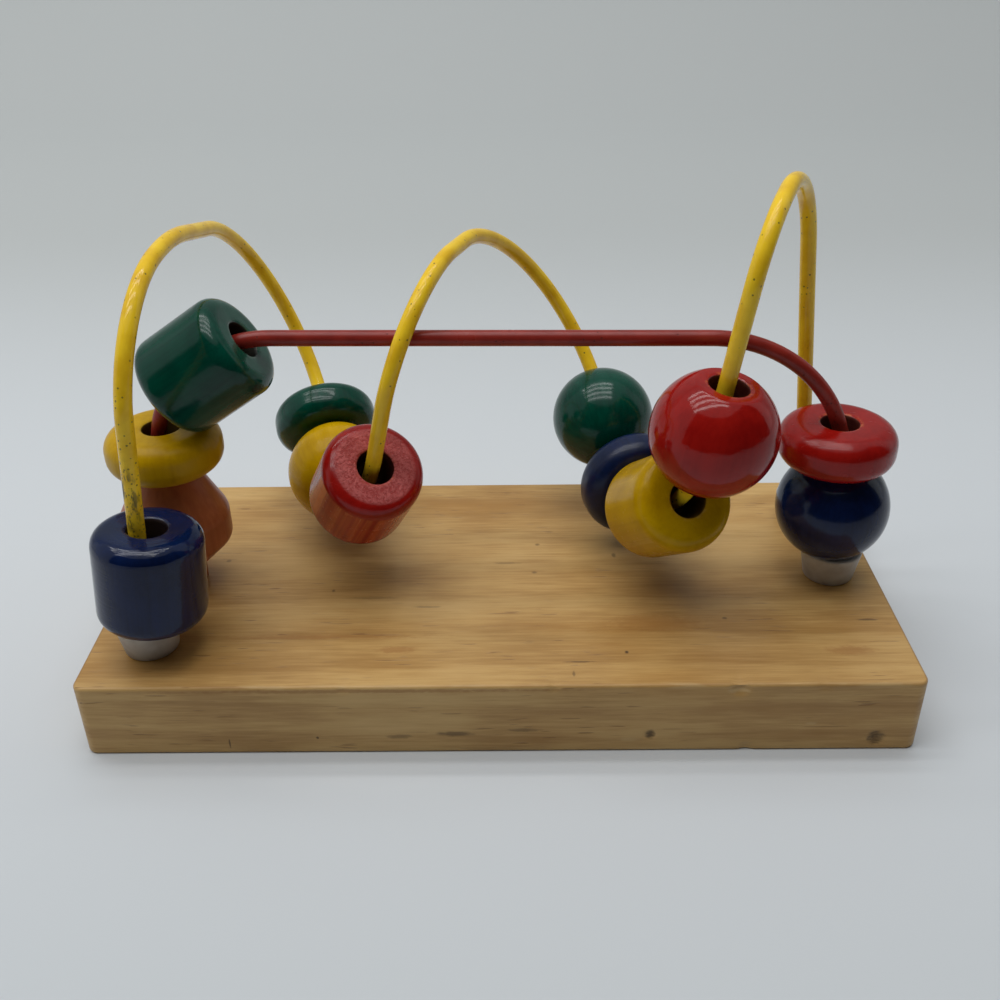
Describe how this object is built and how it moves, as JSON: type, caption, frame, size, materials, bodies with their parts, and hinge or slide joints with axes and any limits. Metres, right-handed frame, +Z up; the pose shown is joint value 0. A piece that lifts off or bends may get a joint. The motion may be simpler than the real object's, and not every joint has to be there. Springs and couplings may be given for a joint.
{
  "type": "bead maze",
  "caption": "Small wooden bead maze: a pine board with looped yellow wire and a low red wire arch, threaded with turned lacquered wooden beads that slide and spin.",
  "frame": {"origin": "middle of the board's underside", "axes": "+X along the board to the right, +Y to the back, +Z up"},
  "size_m": [0.188, 0.1017, 0.1179],
  "materials": {
    "pine": "satin varnish over golden pine",
    "yellow_wire_paint": "glossy golden yellow paint, chipped in places",
    "red_wire_paint": "satin brick red paint",
    "frosted_plastic": "frosted translucent plastic",
    "blue_lacquer": "glossy navy lacquer on turned wood",
    "orange_lacquer": "glossy burnt orange lacquer on turned wood",
    "yellow_lacquer": "glossy yellow lacquer on turned wood",
    "green_lacquer": "glossy dark green lacquer on turned wood",
    "red_lacquer": "glossy red lacquer on turned wood"
  },
  "bodies": {
    "board": {"base": "pine", "yellow_wire": "yellow_wire_paint", "red_wire": "red_wire_paint", "yellow_left_cap": "frosted_plastic", "yellow_right_cap": "frosted_plastic", "red_right_cap": "frosted_plastic"},
    "blue_barrel": {"blue_barrel": "blue_lacquer"},
    "orange_cone": {"orange_cone": "orange_lacquer"},
    "yellow_disc": {"yellow_disc": "yellow_lacquer"},
    "green_barrel": {"green_barrel": "green_lacquer"},
    "green_disc": {"green_disc": "green_lacquer"},
    "yellow_ball": {"yellow_ball": "yellow_lacquer"},
    "red_barrel": {"red_barrel": "red_lacquer"},
    "green_ball": {"green_ball": "green_lacquer"},
    "blue_disc": {"blue_disc": "blue_lacquer"},
    "yellow_barrel": {"yellow_barrel": "yellow_lacquer"},
    "red_ball": {"red_ball": "red_lacquer"},
    "red_disc": {"red_disc": "red_lacquer"},
    "blue_ball": {"blue_ball": "blue_lacquer"}
  },
  "joints": [
    {"name": "blue_barrel_travel", "type": "slide", "parent": "board", "child": "blue_barrel", "axis": [0.087, -0.0153, 0.9961], "range_m": [0, 0.032]},
    {"name": "orange_cone_spin", "type": "hinge", "parent": "board", "child": "orange_cone", "pos_m": [-0.07887, -0.00178, 0.035], "axis": [0, 0, 1], "continuous": true},
    {"name": "yellow_disc_spin", "type": "hinge", "parent": "board", "child": "yellow_disc", "pos_m": [-0.07829, -0.00178, 0.0563], "axis": [0, 0, 1], "continuous": true},
    {"name": "green_barrel_travel", "type": "hinge", "parent": "board", "child": "green_barrel", "pos_m": [-0.05056, -0.00178, 0.05421], "axis": [0, 1, 0], "range_deg": [0, 34]},
    {"name": "green_disc_travel", "type": "hinge", "parent": "board", "child": "green_disc", "pos_m": [-0.0568, 0.01624, 0.06929], "axis": [0.9239, -0.0306, 0.3814], "range_deg": [0, 75]},
    {"name": "yellow_ball_spin", "type": "hinge", "parent": "board", "child": "yellow_ball", "pos_m": [-0.0422, 0.02237, 0.03587], "axis": [0.3157, -0.9318, -0.1793], "continuous": true},
    {"name": "red_barrel_travel", "type": "hinge", "parent": "board", "child": "red_barrel", "pos_m": [-0.03683, 0.01889, 0.06294], "axis": [-0.9283, -0.3424, 0.1452], "range_deg": [0, 32]},
    {"name": "green_ball_travel", "type": "hinge", "parent": "board", "child": "green_ball", "pos_m": [0.00692, 0.01059, 0.06837], "axis": [0.8083, -0.2774, 0.5193], "range_deg": [0, 55]},
    {"name": "blue_disc_spin", "type": "hinge", "parent": "board", "child": "blue_disc", "pos_m": [0.03424, 0.01362, 0.03659], "axis": [0.2638, -0.961, -0.0829], "continuous": true},
    {"name": "yellow_barrel_spin", "type": "hinge", "parent": "board", "child": "yellow_barrel", "pos_m": [0.03965, -0.00696, 0.04247], "axis": [0.3017, -0.7574, 0.5791], "continuous": true},
    {"name": "red_ball_travel", "type": "slide", "parent": "board", "child": "red_ball", "axis": [0.1476, -0.0128, 0.989], "range_m": [0, 0.024]},
    {"name": "red_disc_travel", "type": "hinge", "parent": "board", "child": "red_disc", "pos_m": [0.04737, -0.00178, 0.04827], "axis": [0, -1, 0], "range_deg": [0, 34]},
    {"name": "blue_ball_spin", "type": "hinge", "parent": "board", "child": "blue_ball", "pos_m": [0.08053, -0.00178, 0.03882], "axis": [0, 0, 1], "continuous": true}
  ]
}
